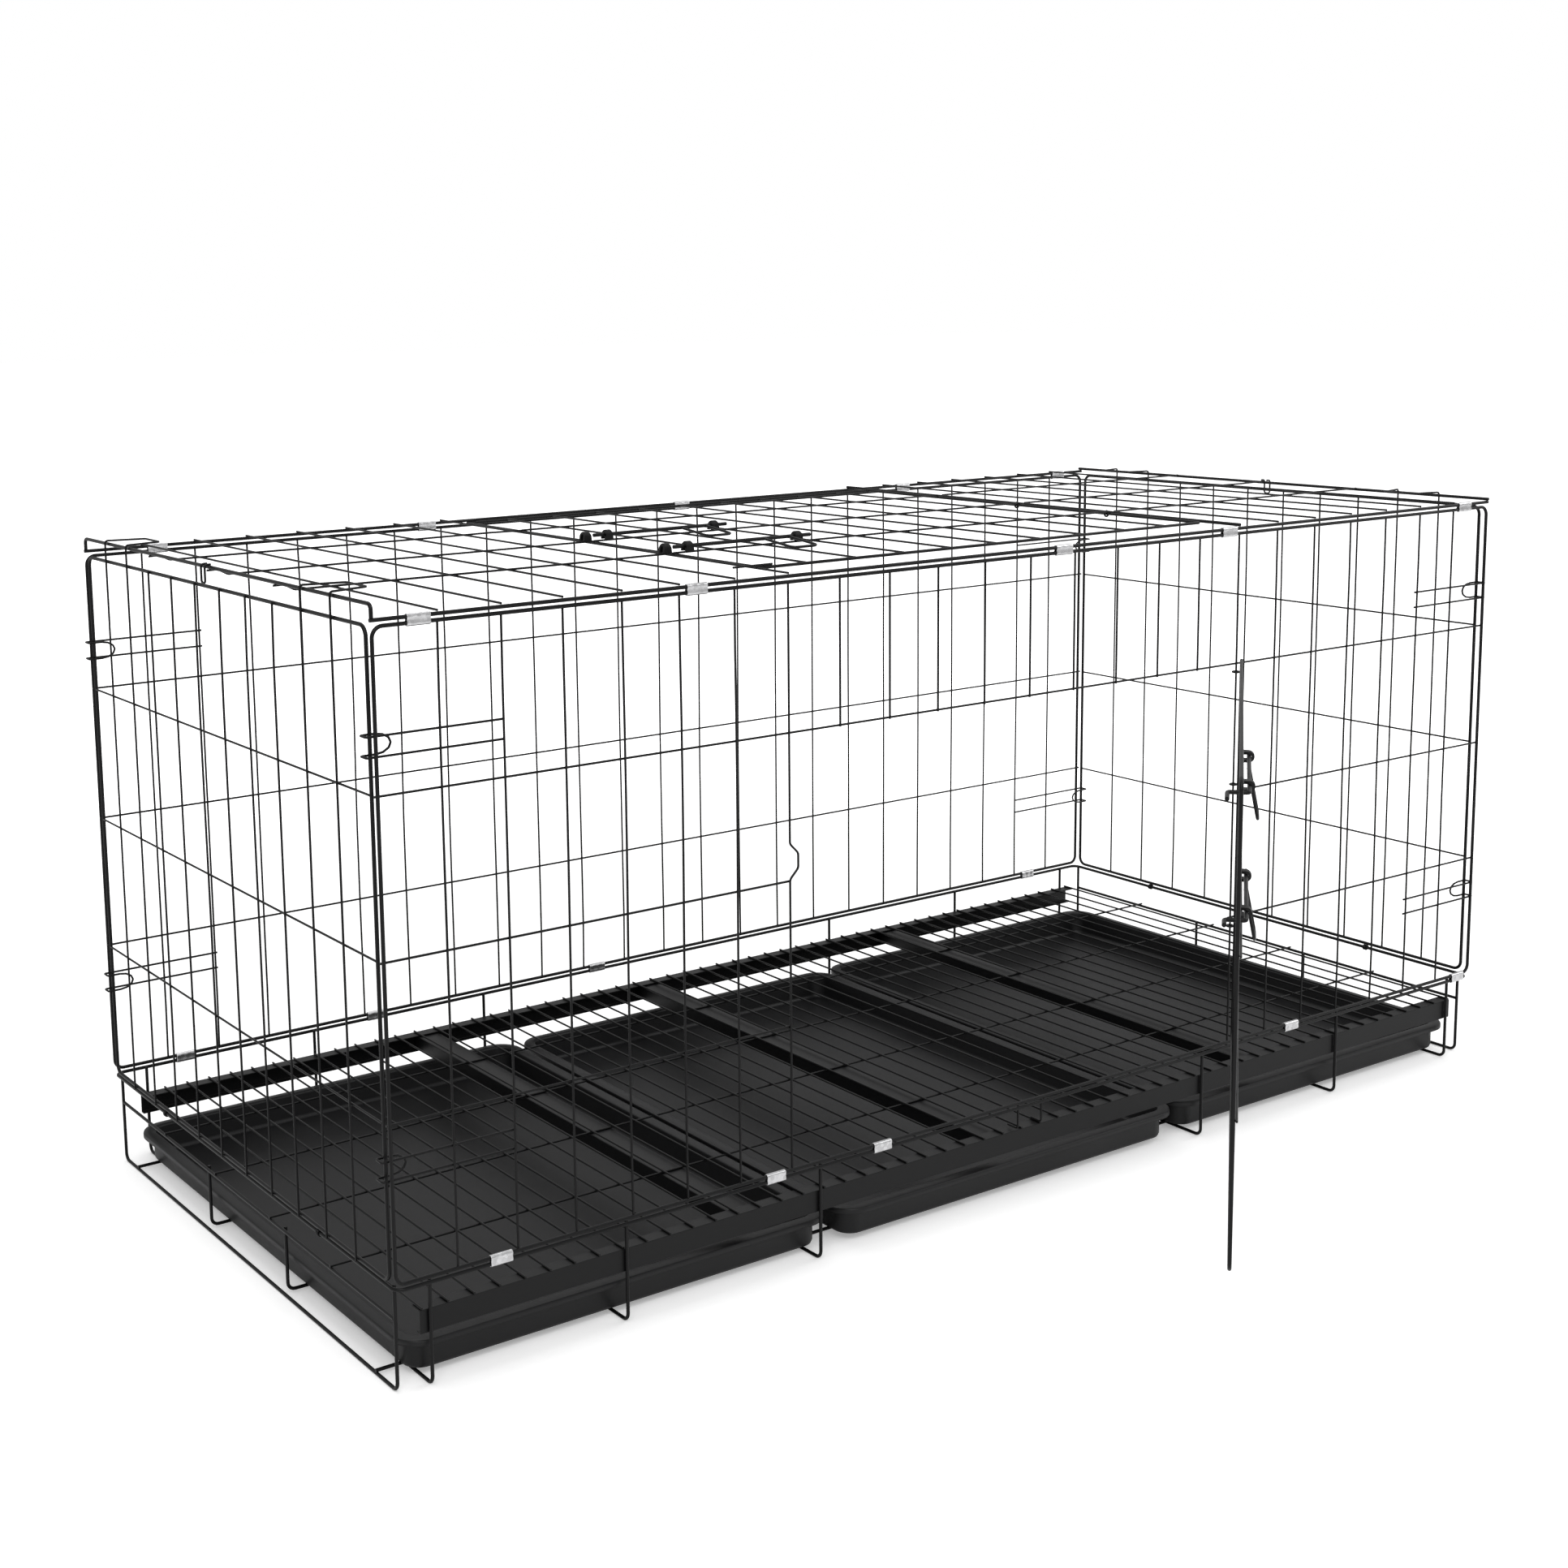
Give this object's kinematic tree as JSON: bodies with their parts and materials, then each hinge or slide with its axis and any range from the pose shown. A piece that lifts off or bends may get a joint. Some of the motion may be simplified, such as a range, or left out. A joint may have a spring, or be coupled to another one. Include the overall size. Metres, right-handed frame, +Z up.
{
  "type": "folding wire dog crate",
  "caption": "Long folding wire dog crate on bent wire legs, with a side-hinged front door, a top hatch, slide bolts, a raised grid floor and pull-out trays.",
  "frame": {"origin": "on the ground, under the middle of the crate's length and of its depth", "axes": "+X along the length, to the right seen from the door side; +Y from the door side to the back; +Z up"},
  "size_m": [1.2138, 0.8838, 0.5691],
  "materials": {
    "coated_steel": "satin",
    "tray_plastic": "satin",
    "clip_steel": "galvanised"
  },
  "bodies": {
    "crate_frame": {"back_corner_hooks": "coated_steel", "back_panel_cross_wires": "coated_steel", "back_panel_frame": "coated_steel", "back_panel_uprights": "coated_steel", "base_cross_legs": "coated_steel", "base_end_legs": "coated_steel", "base_end_runners": "coated_steel", "base_lower_end_rails": "coated_steel", "base_rail_loop": "coated_steel", "base_side_runners": "coated_steel", "clips_base_back": "clip_steel", "clips_base_front": "clip_steel", "clips_top_back": "clip_steel", "clips_top_front": "clip_steel", "floor_cross_beams": "coated_steel", "floor_grid_wires": "coated_steel", "floor_hold_down_hooks": "coated_steel", "floor_long_wires": "coated_steel", "floor_side_channels": "coated_steel", "front_corner_hooks": "coated_steel", "front_panel_cross_wires": "coated_steel", "front_panel_frame": "coated_steel", "front_panel_latch_upright": "coated_steel", "front_panel_short_uprights": "coated_steel", "front_panel_uprights": "coated_steel", "hatch_bolt_keepers": "coated_steel", "hatch_hinge_curls": "coated_steel", "top_cross_wires": "coated_steel", "top_end_loops": "coated_steel", "top_end_wires": "coated_steel", "top_long_wires": "coated_steel", "top_seam_wire": "coated_steel", "top_side_rails": "coated_steel", "tray_left": "tray_plastic", "tray_right": "tray_plastic"},
    "front_door": {"door_bolt_guides": "coated_steel", "door_cross_wires": "coated_steel", "door_frame": "coated_steel", "door_hinge_loops": "coated_steel", "door_uprights": "coated_steel"},
    "door_lower_slide_bolt": {"door_lower_bolt": "coated_steel"},
    "door_upper_slide_bolt": {"door_upper_bolt": "coated_steel"},
    "top_hatch": {"hatch_bolt_guides": "coated_steel", "hatch_cross_wires": "coated_steel", "hatch_frame": "coated_steel", "hatch_long_wires": "coated_steel", "hatch_rest_hooks": "coated_steel"},
    "hatch_front_slide_bolt": {"hatch_front_bolt": "coated_steel"},
    "hatch_rear_slide_bolt": {"hatch_rear_bolt": "coated_steel"},
    "left_end_panel": {"left_end_cross_wires": "coated_steel", "left_end_frame": "coated_steel", "left_end_hinge_loops": "coated_steel", "left_end_hooks": "coated_steel", "left_end_uprights": "coated_steel"},
    "right_end_panel": {"right_end_cross_wires": "coated_steel", "right_end_frame": "coated_steel", "right_end_hinge_loops": "coated_steel", "right_end_hooks": "coated_steel", "right_end_uprights": "coated_steel"},
    "middle_tray": {"tray_middle": "tray_plastic"}
  },
  "joints": [
    {"name": "left_end_fold", "type": "hinge", "parent": "crate_frame", "child": "left_end_panel", "pos_m": [-0.6, 0, 0.08], "axis": [0, 1, 0], "range_deg": [0, 88]},
    {"name": "right_end_fold", "type": "hinge", "parent": "crate_frame", "child": "right_end_panel", "pos_m": [0.6, 0, 0.08], "axis": [0, -1, 0], "range_deg": [0, 88]},
    {"name": "front_door_swing", "type": "hinge", "parent": "crate_frame", "child": "front_door", "pos_m": [0.25, -0.2714, 0], "axis": [0, 0, 1], "range_deg": [-41, 70]},
    {"name": "door_upper_bolt_slide", "type": "slide", "parent": "front_door", "child": "door_upper_slide_bolt", "axis": [-0.7547, -0.6561, 0], "range_m": [0, 0.014]},
    {"name": "door_lower_bolt_slide", "type": "slide", "parent": "front_door", "child": "door_lower_slide_bolt", "axis": [-0.7547, -0.6561, 0], "range_m": [0, 0.014]},
    {"name": "top_hatch_lift", "type": "hinge", "parent": "crate_frame", "child": "top_hatch", "pos_m": [0.245, 0, 0.5566], "axis": [0, 1, 0], "range_deg": [0, 97]},
    {"name": "hatch_front_bolt_slide", "type": "slide", "parent": "top_hatch", "child": "hatch_front_slide_bolt", "axis": [-1, 0, 0], "range_m": [0, 0.018]},
    {"name": "hatch_rear_bolt_slide", "type": "slide", "parent": "top_hatch", "child": "hatch_rear_slide_bolt", "axis": [-1, 0, 0], "range_m": [0, 0.018]},
    {"name": "middle_tray_slide", "type": "slide", "parent": "crate_frame", "child": "middle_tray", "axis": [0, -1, 0], "range_m": [0, 0.53]}
  ]
}
